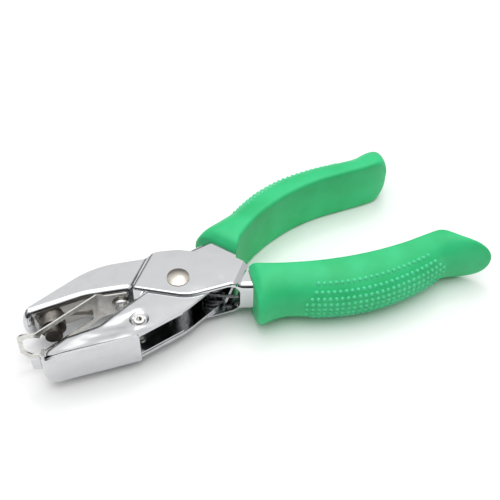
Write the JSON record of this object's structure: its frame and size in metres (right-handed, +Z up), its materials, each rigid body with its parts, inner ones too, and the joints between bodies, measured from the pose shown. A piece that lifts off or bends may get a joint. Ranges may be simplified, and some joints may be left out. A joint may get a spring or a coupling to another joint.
{
  "type": "single hole punch",
  "caption": "Hand-held plier-style paper punch with crossing pressed levers, a stripper leaf, a hinged chip cover and soft textured grips.",
  "frame": {"origin": "middle of the overall length and width, on the surface that the tool lies on", "axes": "+X from the jaws to the handle ends, +Y from the die jaw to the punch jaw, +Z up along the pivot rivet"},
  "size_m": [0.1688, 0.0678, 0.022],
  "materials": {
    "lever_chrome": "bright chrome plate on pressed steel",
    "rivet_nickel": "satin nickel plate",
    "tool_steel": "ground and hardened",
    "leaf_steel": "bare spring steel",
    "grip_rubber": "matt soft vinyl, green"
  },
  "bodies": {
    "die_side": {"die_lever": "lever_chrome", "die_bush": "tool_steel", "die_lever_grip": "grip_rubber", "pivot_rivet": "rivet_nickel", "pivot_sleeve": "rivet_nickel", "cover_eyelet_upper": "rivet_nickel", "cover_eyelet_lower": "rivet_nickel", "return_spring": "leaf_steel"},
    "punch_side": {"punch_lever": "lever_chrome", "punch_collar": "lever_chrome", "punch_pin": "tool_steel", "punch_lever_grip": "grip_rubber", "stripper_rivet": "rivet_nickel"},
    "stripper": {"stripper_leaf": "leaf_steel"},
    "cover": {"chip_cover": "lever_chrome"}
  },
  "joints": [
    {"name": "lever_pivot", "type": "hinge", "parent": "die_side", "child": "punch_side", "pos_m": [-0.02646, 0, 0.011], "axis": [0, 0, 1], "range_deg": [0, 8.5], "stiffness_Nm_per_rad": 1.6, "springref_deg": -28.65, "deforming": ["return_spring"]},
    {"name": "leaf_flex", "type": "hinge", "parent": "punch_side", "child": "stripper", "pos_m": [-0.05446, 0.0054, 0.011], "axis": [0, 0, 1], "range_deg": [-2.6, 0], "stiffness_Nm_per_rad": 0.4, "springref_deg": 2.86},
    {"name": "cover_hinge", "type": "hinge", "parent": "die_side", "child": "cover", "pos_m": [-0.04486, -0.0105, 0.011], "axis": [0, 0, 1], "range_deg": [0, 38]}
  ],
  "couplings": [
    {"joint": "leaf_flex", "follows": "lever_pivot", "ratio": -0.235}
  ]
}
